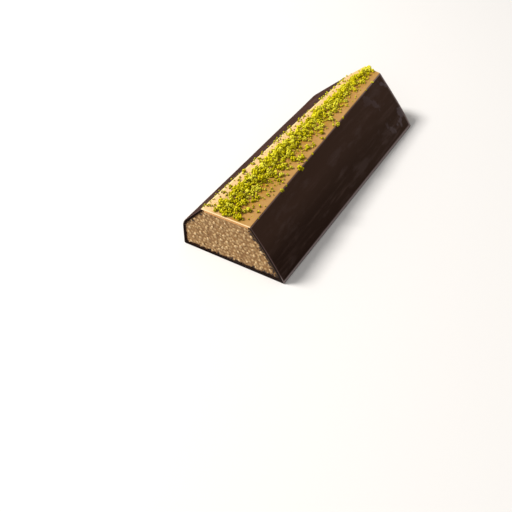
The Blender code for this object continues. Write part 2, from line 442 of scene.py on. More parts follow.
def grain_relief(points, seed):
    """For (x, z) points: the face's height, how far each lies on a grain, the grain's tone, and the
    pit, which also sets painted shade.
    """
    sites = grain_sites(points, seed)
    dx = points[:, None, 0] - sites[None, :, 0]
    dz = points[:, None, 1] - sites[None, :, 1]
    cos, sin = np.cos(sites[:, 4]), np.sin(sites[:, 4])
    reach = np.hypot((dx * cos + dz * sin) / sites[:, 2], (dz * cos - dx * sin) / sites[:, 3])
    dome = sites[:, 5] * np.sqrt(np.clip(1 - reach**2, 0, 1))
    best = dome.argmax(1)
    index = np.arange(len(points))
    height = dome[index, best]
    on_grain = np.clip((1.05 - reach[index, best]) / 0.34, 0, 1)
    tone = sites[best, 6]
    draw = np.random.default_rng(seed)
    pits = points[draw.integers(0, len(points), PITS_PER_FACE)]
    radii = draw.uniform(*PIT_RADIUS, PITS_PER_FACE)
    away = np.hypot(points[:, None, 0] - pits[None, :, 0], points[:, None, 1] - pits[None, :, 1])
    pit_and_shade = np.clip(1 - away / radii, 0, 1).max(1)
    pit_and_shade *= np.clip(1.3 - on_grain, 0.15, 1)
    grit = np.array([noise.noise(Vector((x, seed * MM, z)) / GRIT_LENGTH) for x, z in points])
    return height + GRIT_DEPTH * grit - PIT_DEPTH * pit_and_shade, on_grain, tone, pit_and_shade


print("the grains lie", GRAIN_PITCH, "m apart and stand up to", GRAIN_RISE[1], "m proud")

# %% [markdown]
# ## The halva body
#
# Its sides are hidden by the coat, so a few rings do. The two cut faces need an even, fine mesh for
# the grains: a constrained Delaunay triangulation joins the outline to a lattice of inner points.
# The last half millimetre of the outline is worn back unevenly, as crumbs come away along the knife.
# The same knife drags a little chocolate over the crumbs, which the mesh keeps as "smear": a ragged
# dark line along the coat.

# %% Build the halva body
FACE_SPACING = 0.36 * MM
EDGE_WEAR, WEAR_LENGTH = 1.25 * MM, 0.8 * MM
WORN_BACK = 0.7 * MM
SNUG = 0.04 * MM
SMEAR_WIDTH = (-0.5 * MM, 1.5 * MM)
SMEAR_LENGTH, SMEAR_FADE = 0.65 * MM, 0.2 * MM
RIGHT_SMEAR, LEFT_SMEAR = 0.45 * MM, 0.55 * MM
RIGHT_SMEAR_FROM, LEFT_SMEAR_FROM = 12 * MM, -8 * MM
NEAR_SEEDS, FAR_SEEDS = (3, 11), (5, 12)


def halva_outline(y):
    corners = inset_corners(y, SNUG, HEIGHT - TOP_LAYER - SNUG)
    reaches = [r * MM for r in (0.2, 3.2, 0.6, 0.6, 11.6, 0.2)]
    return rounded_loop(corners, reaches, (2, 16, 3, 3, 40, 2), (24, 26, 110, 10, 14, 52))


def under_tan(point):
    return point.y > HEIGHT - TOP_LAYER - 0.5 * MM


def worn(loop, seed):
    """A cut face's outline with its crumbs worn away, hardly at all under the tan layer."""
    wear = []
    for point in loop:
        rough = 0.42 + 0.9 * noise.noise(Vector((point.x, seed * MM, point.y)) / WEAR_LENGTH)
        wear.append(EDGE_WEAR * min(max(rough, 0), 1) * (0.1 if under_tan(point) else 1.0))
    return drawn_in(loop, wear)


def rim_recess(point):
    """How far the face's outline lies behind the cut."""
    return 0.04 * MM if under_tan(point) else 0.7 * FACE_RECESS


def smear_at(points, loop, seed):
    """How much chocolate the knife smeared over each point."""
    coated = np.array([tuple(p) for p in loop if p.y < HEIGHT - TOP_LAYER - 0.3 * MM])
    gaps = np.hypot(*(points[:, None, :] - coated[None, :, :]).transpose(2, 0, 1))
    low, high = SMEAR_WIDTH
    spots = 0.75 * coated[gaps.argmin(1)] + 0.25 * points
    rough = [0.5 + noise.noise(Vector((x, seed * MM, z)) / SMEAR_LENGTH) for x, z in spots]
    reach = low + (high - low) * np.array(rough)
    reach += RIGHT_SMEAR * (points[:, 0] > RIGHT_SMEAR_FROM)
    reach -= LEFT_SMEAR * (points[:, 0] < LEFT_SMEAR_FROM)
    return np.clip((reach - gaps.min(1)) / SMEAR_FADE, 0, 1)


def inner_lattice(loop):
    """Lattice points inside a closed loop, clear of it."""
    outline = np.array([tuple(p) for p in loop])
    low, high = outline.min(0), outline.max(0)
    xs = np.arange(low[0], high[0], FACE_SPACING)
    zs = np.arange(low[1], high[1], FACE_SPACING * math.sqrt(3) / 2)
    grid = np.array([(x + (k % 2) * FACE_SPACING / 2, z) for k, z in enumerate(zs) for x in xs])
    ends = np.roll(outline, -1, axis=0)
    crossings = np.zeros(len(grid), int)
    nearest = np.full(len(grid), 1.0)
    for start, end in zip(outline, ends):
        if start[1] != end[1]:
            between = (start[1] > grid[:, 1]) != (end[1] > grid[:, 1])
            cut = start[0] + (end[0] - start[0]) * (grid[:, 1] - start[1]) / (end[1] - start[1])
            crossings += between & (grid[:, 0] < cut)
        nearest = np.minimum(nearest, np.hypot(*(grid - start).T))
    return grid[(crossings % 2 == 1) & (nearest > 0.6 * FACE_SPACING)]


def fill_face(built, rim, loop, cut_at, outward, seed, layers):
    """Fills a worn outline with the grain bed. cut_at(x) is the cut's y, and outward its side."""
    inner = inner_lattice(loop)
    count = len(loop)
    flat = [Vector(p) for p in loop] + [Vector(tuple(p)) for p in inner]
    edges = [(i, (i + 1) % count) for i in range(count)]
    joined = geometry.delaunay_2d_cdt(flat, edges, [], 1, 1e-9)
    points = np.array([tuple(p) for p in joined[0]])
    height, on_grain, tone, pit_and_shade = grain_relief(points, seed)
    noted = (on_grain, tone, pit_and_shade, smear_at(points, loop, seed))
    verts = []
    for k, (x, z) in enumerate(points):
        origin = joined[3][k][0] if joined[3][k] else count
        if origin < count:
            vertex = rim[origin]
        else:
            vertex = built.verts.new((x, cut_at(x) + outward * (height[k] - FACE_RECESS), z))
        for layer, values in zip(layers, noted):
            vertex[layer] = float(values[k])
        verts.append(vertex)
    for face in joined[2]:
        corners = [verts[i] for i in face]
        built.faces.new(corners if outward < 0 else corners[::-1])
    return len(joined[2])


def build_halva():
    near = halva_outline(CUT_Y)
    far, reach = far_ring(halva_outline)
    near_worn, far_worn = worn(near, NEAR_SEEDS[0]), worn(far, FAR_SEEDS[0])
    rings = [
        stood(near_worn, [CUT_Y + rim_recess(p) for p in near_worn]),
        stood(near, CUT_Y, WORN_BACK),
        stood(halva_outline(EVEN_END_Y), EVEN_END_Y),
        stood(far, reach, -WORN_BACK),
        stood(far_worn, [y - rim_recess(p) for p, y in zip(far_worn, reach)]),
    ]
    built, rows, layers = skin(rings, ("on_grain", "tone", "pit_and_shade", "smear"))
    front = fill_face(built, rows[0], near_worn, lambda x: CUT_Y, -1, NEAR_SEEDS[1], layers)
    back = fill_face(built, rows[-1], far_worn, far_end_y, 1, FAR_SEEDS[1], layers)
    return finished("halva_body", built, 80), front, back


halva, front_faces, back_faces = build_halva()
print("cut face:", front_faces, "triangles, far face:", back_faces, "triangles")

# %% [markdown]
# ## The smooth tan top
#
# The top is a thin sweet layer that was spread smooth before the bar was cut. It is a rounded slab
# between the rims. Its outside edge at the cut catches the light, so that edge is rounded most.

# %% Build the tan top
TOP_ROUNDING = in_mm((0.0, 0.19), (0.05, 0.08), (0.16, 0.02), (0.45, 0.0), (0.75, 0.0))
# Painted highlight on the top's rounded edges at the cuts, row by row.
TOP_EDGE_HIGHLIGHT = (0.0, 0.7, 1.0, 0.8, 0.0)
TOP_UNEVEN, TOP_UNEVEN_LENGTH, TOP_UNEVEN_STRETCH = 0.10 * MM, 6 * MM, 0.5
LIP_LIFT = 0.04 * MM
RIM_LEFT_BARE, RIM_RIGHT_BARE = 0.12 * MM, 0.42 * MM


def top_outline(y):
    inside, (left_rim, right_rim) = inset_corners(y, 0.0, HEIGHT), top_edges(y)
    left, right = inside[0].x + SNUG, inside[-1].x - SNUG
    under_lip, bottom, top = RIM_HEIGHT + LIP_LIFT, HEIGHT - TOP_LAYER, HEIGHT + 2 * LIP_LIFT
    left_lip, right_lip = left_rim + RIM_LEFT_BARE, right_rim - RIM_RIGHT_BARE
    places = (
        (left_lip, top),
        (left_lip, under_lip),
        (left, under_lip),
        (left, bottom),
        (right, bottom),
        (right, under_lip),
        (right_lip, under_lip),
        (right_lip, top),
    )
    reaches = [r * MM for r in (0.2, 0.02, 0.02, 0.1, 0.1, 0.02, 0.02, 0.2)]
    corners = [Vector(place) for place in places]
    return rounded_loop(corners, reaches, (4, 1, 1, 1, 1, 1, 1, 4), (1, 1, 1, 20, 1, 1, 1, 24))


def build_top():
    rings = ring_stack(
        top_outline, 70, 16, TOP_ROUNDING, lambda point: float(point.y > RIM_HEIGHT + 2 * LIP_LIFT)
    )
    built, rows, (edge_highlight, across, cut) = skin(rings, ("edge_highlight", "across", "cut"))
    built.faces.new(rows[0])
    built.faces.new(rows[-1][::-1])
    for row in rows:
        low = min(vertex.co.x for vertex in row)
        width = max(vertex.co.x for vertex in row) - low
        for vertex in row:
            vertex[across] = (vertex.co.x - low) / width
    for vertex in rows[0] + rows[-1]:
        vertex[cut] = 1.0
    # Painted highlight along the top's rounded edges at both cuts.
    lit_rows = list(zip(rows, TOP_EDGE_HIGHLIGHT)) + list(zip(rows[::-1], TOP_EDGE_HIGHLIGHT))
    for row, value in lit_rows:
        for vertex in row:
            vertex[edge_highlight] = value if vertex.co.z > HEIGHT - 0.3 * MM else 0.0
    for vertex in built.verts:
        if vertex.co.z > HEIGHT - 0.1 * MM:
            spot = Vector((vertex.co.x, vertex.co.y * TOP_UNEVEN_STRETCH, 0)) / TOP_UNEVEN_LENGTH
            vertex.co.z += TOP_UNEVEN * noise.noise(spot)
    return finished("tan_top_layer", built)


tan_top = build_top()
print("tan top:", len(tan_top.data.polygons), "faces")

# %% [markdown]
# ## Nodes by name
#
# Both the scattering and the materials are node trees. One small helper adds a node, sets its
# options and fills its inputs, with either a plain value or a link. The others are the few sums that
# come back in every tree.

# %% Helpers for node trees


def socket(sockets, name):
    return next(s for s in sockets if s.name == name and s.enabled)


def fill(tree, target, value):
    if isinstance(value, bpy.types.NodeSocket):
        tree.links.new(value, target)
    else:
        target.default_value = value


def put(tree, kind, inputs=None, **options):
    """Adds a node to a tree, with its options set and its inputs filled or linked."""
    node = tree.nodes.new(kind)
    for name, value in options.items():
        setattr(node, name, value)
    for name, value in (inputs or {}).items():
        fill(tree, socket(node.inputs, name), value)
    return node


def out(node, name=None):
    return socket(node.outputs, name) if name else next(s for s in node.outputs if s.enabled)


def maths(tree, operation, first, second):
    node = put(tree, "ShaderNodeMath", operation=operation)
    fill(tree, node.inputs[0], first)
    fill(tree, node.inputs[1], second)
    return out(node)


def times(tree, first, second):
    return maths(tree, "MULTIPLY", first, second)


def remap(tree, value, low, high, to_low=0.0, to_high=1.0):
    """A value between low and high, moved to between to_low and to_high and kept inside."""
    ends = {"From Min": low, "From Max": high, "To Min": to_low, "To Max": to_high}
    return out(put(tree, "ShaderNodeMapRange", {"Value": value, **ends}))


def new_socket(tree, name, kind, in_out="INPUT"):
    return tree.interface.new_socket(name, in_out=in_out, socket_type="NodeSocket" + kind)


print("helpers: put, out, maths, times, remap and new_socket")

# %% [markdown]
# ## A tree that sprinkles
#
# Chips of nut and loose sesame repeat by the hundred, which is what Geometry Nodes are for. The tree
# spreads points over a bed, at least Spacing apart and more of them where the bed's "cover" is high.
# It puts one of a few model pieces on each, turned by up to Tumble and sized between Smallest and
# Largest by a seeded draw. Sit is how far a piece stands out, as a share of its size, and Stray how
# much smaller the pieces are where the cover is thin. Each piece keeps a random "tone", which the
# material turns into colour.

# %% Build the sprinkling tree
SPRINKLE_INPUTS = {
    "Geometry": ("Bed",),
    "Collection": ("Pieces",),
    "Float": ("Spacing", "Density", "Smallest", "Largest", "Stray", "Tumble", "Sit"),
    "Int": ("Seed",),
    "Material": ("Finish",),
}
THIN_COVER = 0.4
TONE_SEED = 5


def sprinkling_tree():
    tree = bpy.data.node_groups.new("Sprinkle", "GeometryNodeTree")
    new_socket(tree, "Geometry", "Geometry", "OUTPUT")
    for kind, names in SPRINKLE_INPUTS.items():
        for name in names:
            new_socket(tree, name, kind)
    given = tree.nodes.new("NodeGroupInput")
    tumble, seed = out(given, "Tumble"), out(given, "Seed")
    cover = out(put(tree, "GeometryNodeInputNamedAttribute", {"Name": "cover"}), "Attribute")
    spread = put(
        tree,
        "GeometryNodeDistributePointsOnFaces",
        {
            "Mesh": out(given, "Bed"),
            "Distance Min": out(given, "Spacing"),
            "Density Max": out(given, "Density"),
            "Density Factor": cover,
            "Seed": seed,
        },
        distribute_method="POISSON",
    )
    pieces = {"Collection": out(given, "Pieces"), "Separate Children": True, "Reset Children": True}
    models = put(tree, "GeometryNodeCollectionInfo", pieces)
    lean = times(tree, tumble, -1.0)
    low_turn = put(tree, "ShaderNodeCombineXYZ", {"X": lean, "Y": lean, "Z": -math.pi})
    high_turn = put(tree, "ShaderNodeCombineXYZ", {"X": tumble, "Y": tumble, "Z": math.pi})
    turn = put(
        tree,
        "FunctionNodeRandomValue",
        {"Min": out(low_turn), "Max": out(high_turn), "Seed": seed},
        data_type="FLOAT_VECTOR",
    )
    as_turn = put(tree, "FunctionNodeEulerToRotation", {"Euler": out(turn)})
    turned = put(
        tree,
        "FunctionNodeRotateRotation",
        {"Rotation": out(spread, "Rotation"), "Rotate By": out(as_turn)},
        rotation_space="LOCAL",
    )
    drawn = put(
        tree,
        "FunctionNodeRandomValue",
        {"Min": out(given, "Smallest"), "Max": out(given, "Largest"), "Seed": seed},
        data_type="FLOAT",
    )
    size = times(tree, out(drawn), remap(tree, cover, 0.0, THIN_COVER, out(given, "Stray")))
    lift = put(tree, "ShaderNodeVectorMath", operation="SCALE")
    fill(tree, lift.inputs[0], out(spread, "Normal"))
    fill(tree, socket(lift.inputs, "Scale"), times(tree, size, out(given, "Sit")))
    points = {"Geometry": out(spread, "Points"), "Offset": out(lift)}
    raised = put(tree, "GeometryNodeSetPosition", points)
    placed = put(
        tree,
        "GeometryNodeInstanceOnPoints",
        {
            "Points": out(raised),
            "Instance": out(models),
            "Pick Instance": True,
            "Rotation": out(turned),
            "Scale": size,
        },
    )
    tone = put(tree, "FunctionNodeRandomValue", {"Seed": TONE_SEED}, data_type="FLOAT")
    toned = put(
        tree,
        "GeometryNodeStoreNamedAttribute",
        {"Geometry": out(placed), "Name": "tone", "Value": out(tone)},
        data_type="FLOAT",
        domain="INSTANCE",
    )
    real = put(tree, "GeometryNodeRealizeInstances", {"Geometry": out(toned)})
    clad = {"Geometry": out(real), "Material": out(given, "Finish")}
    dressed = put(tree, "GeometryNodeSetMaterial", clad)
    put(tree, "NodeGroupOutput", {"Geometry": out(dressed)})
    return tree


SPRINKLE = sprinkling_tree()


def sprinkled(name, bed, models, finish, **sizes):
    """Sprinkles model meshes over a bed and returns the plain mesh object. The bed is used up."""
    store = bpy.data.collections.new(name + "_models")
    bpy.context.scene.collection.children.link(store)
    for number, mesh in enumerate(models):
        store.objects.link(bpy.data.objects.new(f"{name}_model_{number}", mesh))
    modifier = bed.modifiers.new("sprinkle", "NODES")
    modifier.node_group = SPRINKLE
    values = {"Stray": 1.0, "Tumble": math.pi, **sizes, "Pieces": store, "Finish": finish}
    for item in SPRINKLE.interface.items_tree:
        if item.name in values:
            modifier[item.identifier] = values[item.name]
    bpy.context.view_layer.update()
    graph = bpy.context.evaluated_depsgraph_get()
    mesh = bpy.data.meshes.new_from_object(bed.evaluated_get(graph))
    bed.modifiers.remove(modifier)
    for used in list(store.objects) + [bed]:
        bpy.data.objects.remove(used, do_unlink=True)
    bpy.data.collections.remove(store)
    mesh.name = name
    print(name, len(mesh.polygons), "faces")
    return added(name, mesh)


print("the tree has", len(SPRINKLE.nodes), "nodes")

# %% [markdown]
# ## Shared texture groups
#
# Mottle is slow-changing noise between two limits: it varies colour and roughness in all the
# finishes. It is a group so that each finish can place it with its own scale. Beside it stand the
# small steps that every finish takes: blending two colours by a mask, reading a value that the mesh
# keeps, and filling the shader.

# %% Build the mottle group


def mottle_group():
    group = bpy.data.node_groups.new("Mottle", "ShaderNodeTree")
    new_socket(group, "Vector", "Vector")
    for name in ("Scale", "From", "To"):
        new_socket(group, name, "Float")
    new_socket(group, "Mask", "Float", "OUTPUT")
    given = group.nodes.new("NodeGroupInput")
    where = {"Vector": out(given, "Vector"), "Scale": out(given, "Scale")}
    grain = put(group, "ShaderNodeTexNoise", {**where, "Detail": 4.0, "Roughness": 0.6})
    limited = remap(group, out(grain), out(given, "From"), out(given, "To"))
    put(group, "NodeGroupOutput", {"Mask": limited})
    return group


MOTTLE = mottle_group()


def mottle(tree, vector, scale, low=0.35, high=0.65):
    limits = {"Vector": vector, "Scale": scale, "From": low, "To": high}
    return out(put(tree, "ShaderNodeGroup", limits, node_tree=MOTTLE))


def blend(tree, mask, first, second):
    """The first colour where the mask is 0 and the second where it is 1."""
    colours = {"Factor": mask, "A": first, "B": second}
    return out(put(tree, "ShaderNodeMix", colours, data_type="RGBA"))


def layered(tree, colour, *layers):
    """A colour with others laid over it, each given as (mask, colour)."""
    for mask, over in layers:
        colour = blend(tree, mask, colour, over)
    return colour


def between(tree, mask, low, high):
    return remap(tree, mask, 0.0, 1.0, low, high)


def attribute(tree, name):
    return out(put(tree, "ShaderNodeAttribute", attribute_name=name), "Fac")


def stretched(tree, vector, along):
    """Coordinates in which noise comes out longer along the bar."""
    return out(put(tree, "ShaderNodeMapping", {"Vector": vector, "Scale": (1.0, along, 1.0)}))


def new_finish(name):
    """A new material: its tree, its Principled shader and its Object coordinates."""
    finish = bpy.data.materials.new(name)
    finish.use_nodes = True
    tree = finish.node_tree
    where = out(put(tree, "ShaderNodeTexCoord"), "Object")
    return finish, tree, tree.nodes["Principled BSDF"], where


def rgb(red, green, blue):
    """A colour given as it looks on screen, from 0 to 255, made linear for the shader."""
    linear = [
        v / 12.92 if v <= 0.04045 else ((v + 0.055) / 1.055) ** 2.4
        for v in (c / 255 for c in (red, green, blue))
    ]
    return (*linear, 1.0)


def coat_with(tree, shader, colour, roughness, specular, height, distance):
    """Fills the shader: its colour, roughness and specular level, and a bump of some distance."""
    fill(tree, shader.inputs["Base Color"], colour)
    fill(tree, shader.inputs["Roughness"], roughness)
    shader.inputs["Specular IOR Level"].default_value = specular
    node = put(tree, "ShaderNodeBump", {"Height": height, "Distance": distance, "Strength": 1.0})
    fill(tree, shader.inputs["Normal"], out(node))


print("the mottle group has", len(MOTTLE.nodes), "nodes")

# %% [markdown]
# ## Dark chocolate
#
# Tempered dark chocolate is nearly black, with a brown heart and a satin face. Its shine is uneven
# in long faint streaks along the bar, where the coat was drawn on, so the noise is stretched along Y.
# A thin grey bloom lies on it in clouds, its edges get a painted highlight, its left flank is painted
# lighter where the light falls, and near the far end of the right flank a few patches are glossy, with
# a painted grey-purple sheen.

# %% Finish: dark chocolate


def chocolate_finish():
    finish, tree, shader, where = new_finish("dark_chocolate")
    spot = put(tree, "ShaderNodeSeparateXYZ", {"Vector": where})
    across, along, up = out(spot, "X"), out(spot, "Y"), out(spot, "Z")
    drawn = stretched(tree, where, 0.10)
    streaks = mottle(tree, drawn, 420.0, 0.50, 0.74)
    clouds = mottle(tree, where, 60.0, 0.36, 0.60)
    farness = remap(tree, along, CUT_Y, FAR_Y)
    highness = remap(tree, up, 0.40 * HEIGHT, 0.72 * HEIGHT)
    heart = blend(tree, farness, rgb(36, 20, 13), rgb(56, 37, 26))
    raised = blend(tree, farness, rgb(62, 43, 34), rgb(66, 46, 36))
    heart = blend(tree, highness, heart, raised)
    streaked = blend(tree, between(tree, streaks, 0.0, 0.7), heart, rgb(80, 60, 53))
    leftness = remap(tree, across, -6 * MM, -15 * MM, 0.0, 0.85)
    # Painted light: the left flank is painted lighter, where the light from the left falls on it.
    left_side_lit = blend(tree, clouds, rgb(66, 42, 33), rgb(56, 35, 28))
    bloom = mottle(tree, stretched(tree, where, 0.35), 130.0, 0.54, 0.66)
    # Painted highlight along the rounded edges, paler towards the far end and palest along the line
    # above the right foot.
    near_end = remap(tree, along, FAR_Y - 38 * MM, FAR_Y - 14 * MM)
    edge_highlight_colour = blend(tree, near_end, rgb(118, 96, 92), rgb(158, 138, 136))
    edge_highlight_colour = blend(tree, remap(tree, up, 5 * MM, 2.5 * MM), edge_highlight_colour, rgb(174, 157, 156))
    cut = attribute(tree, "cut")
    glossy_side = times(tree, between(tree, cut, 1.0, 0.0), remap(tree, across, 0.0, 8 * MM))
    # Glossy patches near the far end of the right flank: real gloss in the coat layer, and a painted
    # grey-purple sheen in the colour.
    patches = times(tree, mottle(tree, where, 95.0, 0.56, 0.60), near_end)
    gloss_and_sheen = times(tree, patches, glossy_side)
    colour = layered(
        tree,
        heart,
        (clouds, streaked),
        (leftness, left_side_lit),
        (between(tree, bloom, 0.0, 0.4), rgb(82, 66, 62)),
        # Raw dark chocolate at the cut ends, and painted shade under the highlight line above the right
        # foot.
        (cut, rgb(22, 12, 8)),
        (between(tree, attribute(tree, "edge_highlight"), 0.0, 0.9), edge_highlight_colour),
        (between(tree, gloss_and_sheen, 0.0, 0.6), rgb(88, 72, 76)),
    )
    rough = maths(tree, "ADD", between(tree, streaks, 0.52, 0.42), between(tree, leftness, 0.0, 0.5))
    coat_with(tree, shader, colour, rough, 0.05, mottle(tree, drawn, 900.0, 0.2, 0.8), 0.00003)
    shader.inputs["Specular Tint"].default_value = rgb(255, 214, 190)
    fill(tree, shader.inputs["Coat Weight"], between(tree, gloss_and_sheen, 0.0, 0.30))
    shader.inputs["Coat Roughness"].default_value = 0.28
    return finish


coat.data.materials.append(chocolate_finish())
print("chocolate finish made")

# %% [markdown]
# ## Halva
#
# The ground is a warm brown, the grains cream, and each grain has its own tone, stored on the mesh.
# Deep gaps get painted shade, and the chocolate smear goes darker. Fine mottle on top breaks up the
# smooth domes.

# %% Finish: halva


def halva_finish():
    finish, tree, shader, where = new_finish("halva")
    ground = blend(tree, mottle(tree, where, 160.0), rgb(140, 101, 56), rgb(156, 115, 66))
    grain = blend(tree, attribute(tree, "tone"), rgb(158, 119, 72), rgb(212, 178, 126))
    specks = mottle(tree, where, 1100.0, 0.3, 0.7)
    grain = blend(tree, between(tree, specks, 0.0, 0.12), grain, rgb(166, 124, 74))
    colour = layered(
        tree,
        ground,
        (attribute(tree, "on_grain"), grain),
        # Painted shade in the deep gaps between grains.
        (attribute(tree, "pit_and_shade"), rgb(70, 44, 24)),
        (attribute(tree, "smear"), rgb(50, 29, 16)),
    )
    coat_with(tree, shader, colour, 0.62, 0.3, specks, 0.00005)
    return finish


halva.data.materials.append(halva_finish())
print("halva finish made")

# %% [markdown]
# ## Sesame seeds
#
# The seeds that stand proud are a paler cream than the bed, with a faint brown husk in patches.

# %% Finish: sesame seeds


def sesame_finish():
    finish, tree, shader, where = new_finish("sesame")
    colour = blend(tree, attribute(tree, "tone"), rgb(192, 160, 112), rgb(218, 188, 142))
    husk = mottle(tree, where, 500.0, 0.5, 0.7)
    colour = blend(tree, between(tree, husk, 0.0, 0.35), colour, rgb(176, 134, 86))
    fine = mottle(tree, where, 1300.0, 0.3, 0.7)
    coat_with(tree, shader, colour, between(tree, husk, 0.48, 0.6), 0.3, fine, 0.00004)
    return finish


SESAME_FINISH = sesame_finish()
print("sesame finish made")

# %% [markdown]
# ## The tan top's finish
#
# A smooth caramel-coloured face with warm brown dust near the nuts. It is painted paler on the left,
# where the light falls, and darker to the right, with a painted highlight along its left edge and
# along its rounded edges at both cuts.

# %% Finish: tan top


def tan_finish():
    finish, tree, shader, where = new_finish("tan_top")
    clouds = mottle(tree, where, 90.0)
    across = attribute(tree, "across")
    # Painted light: the top is painted paler on the left, where the light falls, and darker to the
    # right.
    side = remap(tree, across, 0.12, 0.62)
    nutty = times(tree, side, remap(tree, across, 0.95, 0.66, 0.0, 0.95))
    stain, dust = mottle(tree, where, 260.0, 0.3, 0.62), mottle(tree, where, 620.0, 0.50, 0.62)
    colour = layered(
        tree,
        rgb(240, 200, 146),
        (side, rgb(182, 138, 76)),
        (times(tree, clouds, between(tree, side, 0.12, 0.4)), rgb(206, 160, 100)),
        (times(tree, stain, nutty), rgb(172, 128, 28)),
        (times(tree, dust, between(tree, nutty, 0.1, 0.8)), rgb(168, 102, 44)),
        # Painted highlight along the top's left edge.
        (remap(tree, across, 0.045, 0.02), rgb(252, 224, 164)),
        (attribute(tree, "cut"), rgb(214, 156, 88)),
        # Painted highlight along the rounded edges at both cuts.
        (attribute(tree, "edge_highlight"), rgb(248, 216, 166)),
    )
    fine = mottle(tree, where, 500.0, 0.2, 0.8)
    coat_with(tree, shader, colour, between(tree, clouds, 0.42, 0.55), 0.3, fine, 0.00005)
    return finish


tan_top.data.materials.append(tan_finish())
print("tan finish made")

# %% [markdown]
# ## Pistachio
#
# Chopped pistachio runs from deep green in its folds to bright yellow-green on its fresh faces. The
# tone of each chip picks its place between them, and mottle varies it within a chip. Light hardly
# gets down between the chips, so the low ones and the valleys between nubs get painted shade,
# strongest near the cut face and weaker towards the far end.

# %% Finish: pistachio


def pistachio_finish(name, deep_shade):
    """deep_shade is how much the foot of the heap is darkened."""
    finish, tree, shader, where = new_finish(name)
    ramp = put(tree, "ShaderNodeValToRGB", {"Fac": attribute(tree, "tone")})
    stops = ramp.color_ramp.elements
    stops[0].color, stops[1].color = rgb(228, 216, 18), rgb(255, 250, 88)
    stops.new(0.5).color = rgb(255, 246, 48)
    folds = mottle(tree, where, 900.0, 0.3, 0.62)
    spot = put(tree, "ShaderNodeSeparateXYZ", {"Vector": where})
    nearness = remap(tree, out(spot, "Y"), FAR_Y, CUT_Y, 0.35)
    valley_shade = between(tree, attribute(tree, "tip"), 1.0, 0.0)
    depth = remap(tree, out(spot, "Z"), HEIGHT, HEIGHT + 1.6 * MM, deep_shade, 0.0)
    colour = layered(
        tree,
        out(ramp),
        (between(tree, folds, 0.2, 0.0), rgb(170, 162, 0)),
        # Painted shade in the valleys between nubs and at the foot of the heap, weaker towards the far
        # end.
        (times(tree, valley_shade, nearness), rgb(136, 122, 0)),
        (times(tree, depth, nearness), rgb(60, 46, 0)),
    )
    coat_with(tree, shader, colour, between(tree, folds, 0.42, 0.6), 0.02, folds, 0.00012)
    return finish


PISTACHIO_FINISH = pistachio_finish("pistachio", 0.75)
DUST_FINISH = pistachio_finish("pistachio_dust", 0.0)
print("pistachio finish made")

# %% [markdown]
# ## Model chips
#
# A chopped nut is a lump with smaller lumps on it: a round core with small nubs grown all round it.
# A few models are enough, because each copy is turned and sized on its own. Each has about a hundred
# faces and no more, as it is repeated by the hundred. The small chips are plain rough grains.

# %% Model the chips


def place_lump(made, tip, centre, draw, jitter):
    """Roughens and moves a new lump. Its tips are where it stands far from the chip's middle."""
    for vertex in made["verts"]:
        vertex.co = vertex.co * draw.uniform(1 - jitter, 1 + jitter) + centre
        vertex[tip] = min(max((vertex.co.length - 0.50) / 0.38, 0.0), 1.0)


def add_ball(built, tip, centre, radius, draw, jitter):
    made = bmesh.ops.create_icosphere(built, subdivisions=1, radius=radius)
    place_lump(made, tip, centre, draw, jitter)


def add_nub(built, tip, centre, radius, draw):
    made = bmesh.ops.create_uvsphere(built, u_segments=4, v_segments=2, radius=radius)
    place_lump(made, tip, centre, draw, 0.14)


def model_mesh(name, built):
    """A smooth model with all its faces turned outwards, which needs fresh normals to start from."""
    built.normal_update()
    bmesh.ops.recalc_face_normals(built, faces=built.faces)
    mesh = plain_mesh(name, built)
    mesh.shade_smooth()
    return mesh


def nubby_chip(number):
    """A chip of about unit radius: small nubs grown all round a core."""
    draw = random.Random(400 + number)
    built, tip = started("tip")
    squash = Vector((draw.uniform(0.9, 1.15), draw.uniform(0.7, 1.0), draw.uniform(0.65, 0.9)))
    add_ball(built, tip, Vector(), 0.72 * min(squash), draw, 0.1)
    count = draw.choice((10, 11, 12, 13))
    for k in range(count):
        z = 1 - (2 * k + 1) / count + draw.uniform(-0.12, 0.12)
        turn = 2.4 * k + draw.uniform(-0.4, 0.4)
        flat = math.sqrt(max(1 - z * z, 0.0))
        direction = Vector((flat * math.cos(turn), flat * math.sin(turn), z))
        spot = Vector([d * s * 0.68 for d, s in zip(direction, squash)])
        add_nub(built, tip, spot, draw.uniform(0.30, 0.44), draw)
    return model_mesh(f"nubby_chip_{number}", built)


def plain_chip(number):
    """A grain of about unit radius: two rough balls grown together."""
    draw = random.Random(500 + number)
    built, tip = started("tip")
    apart = Vector((draw.uniform(0.3, 0.5), draw.uniform(-0.2, 0.2), draw.uniform(-0.2, 0.2)))
    add_ball(built, tip, apart, draw.uniform(0.55, 0.7), draw, 0.16)
    add_ball(built, tip, -apart, draw.uniform(0.5, 0.65), draw, 0.16)
    return model_mesh(f"plain_chip_{number}", built)


NUBBY_CHIPS = [nubby_chip(number) for number in range(9)]
PLAIN_CHIPS = [plain_chip(number) for number in range(5)]
print("chip models:", len(NUBBY_CHIPS), "nubby and", len(PLAIN_CHIPS), "plain")

# %% [markdown]
# ## The beds that the nuts fall on
#
# The nuts lie in a band that keeps left of the middle and leaves the right of the top almost bare.
# A bed is a grid over the top strip, and each of its points says how much cover it gets: full in the
# middle of the band, ragged at its sides. The band swells and narrows along the bar, as a hand that
# strews never goes quite straight.

# %% Beds for the sprinkling
MARGIN, FRONT_MARGIN, SIDE_ROOM = 0.7 * MM, 2.0 * MM, 1.0 * MM
BAND_MIDDLE = -0.22
BAND_SHARES = (0.0, 0.18, 0.27, 0.40, 0.55, 1.0)
LEFT_WIDTHS = (0.96, 0.95, 0.92, 0.94, 0.85, 0.70)
RIGHT_WIDTHS = (0.98, 1.02, 1.26, 1.12, 1.0, 0.96)
RAGGEDNESS, RAGGED_LENGTH = 0.2, 4.5 * MM


